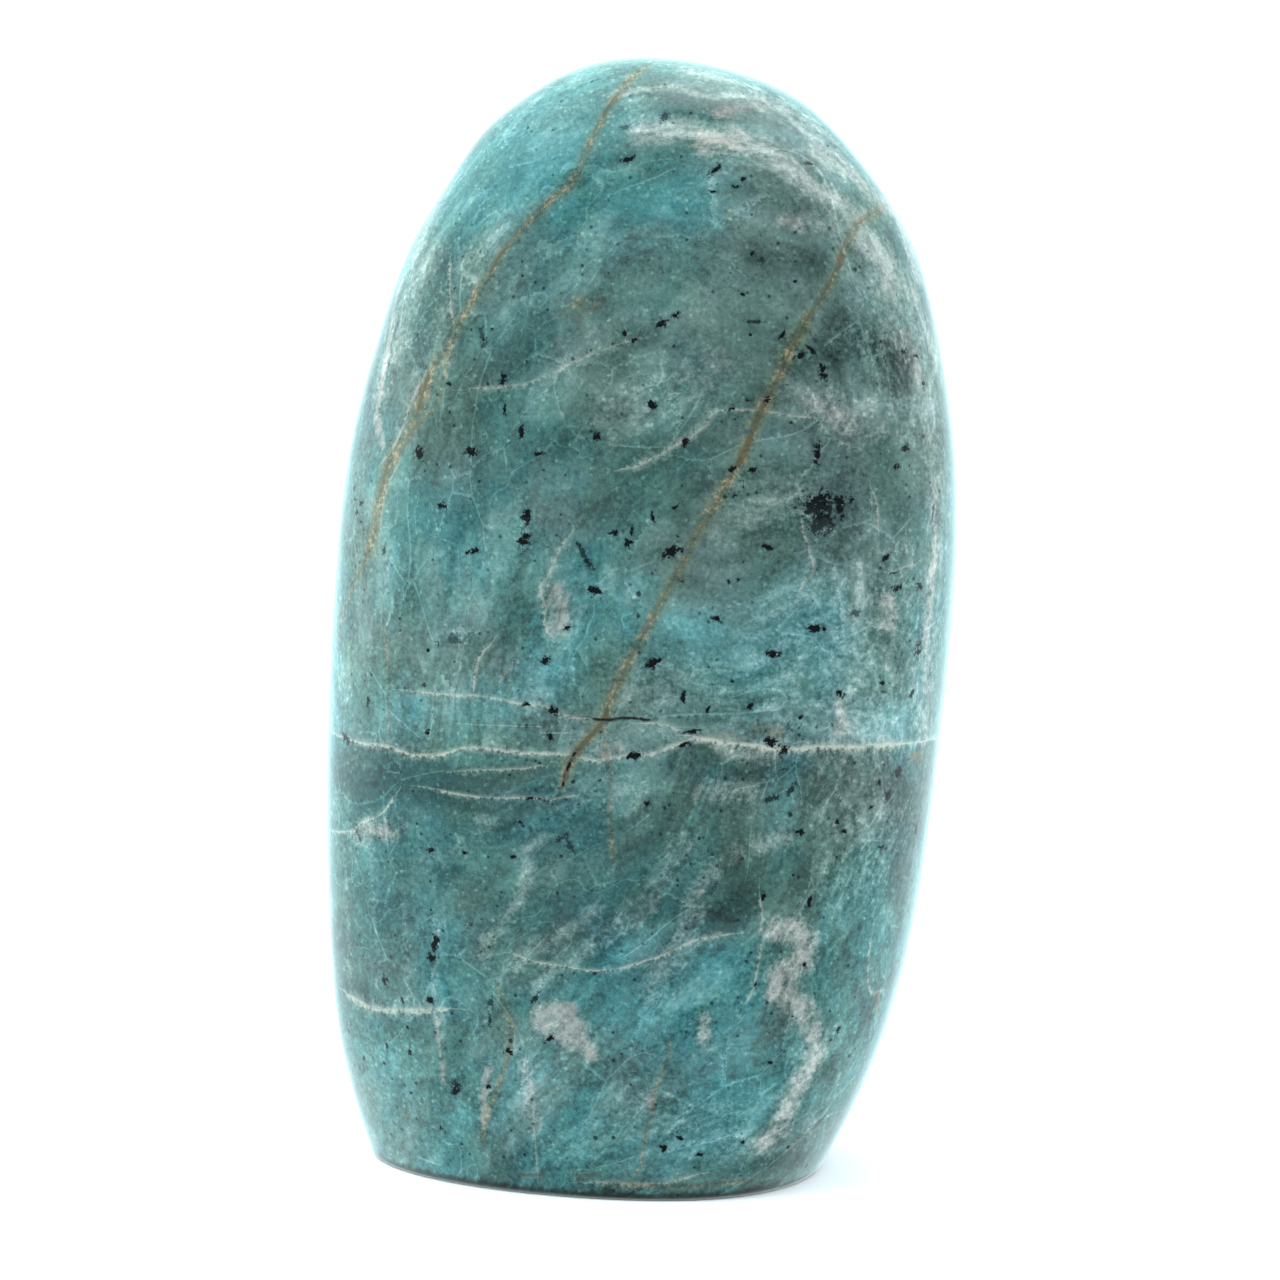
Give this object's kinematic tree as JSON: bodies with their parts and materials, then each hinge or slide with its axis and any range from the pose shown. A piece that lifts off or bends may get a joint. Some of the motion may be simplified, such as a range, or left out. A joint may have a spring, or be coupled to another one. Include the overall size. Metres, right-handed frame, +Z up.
{
  "type": "polished amazonite freeform",
  "caption": "Polished freeform standing stone of blue-green amazonite with a domed top, a broad flattened face, veins and dark flecks, on a flat sawn foot.",
  "frame": {"origin": "middle of the stone's bounding box, on the plane of its flat foot", "axes": "+Z up along the stone's length, display face towards -Y, +X to the viewer's right of that face"},
  "size_m": [0.0906, 0.056, 0.16],
  "materials": {
    "polished_amazonite": "polished"
  },
  "bodies": {
    "root": {"amazonite_stone": "polished_amazonite"}
  },
  "joints": []
}
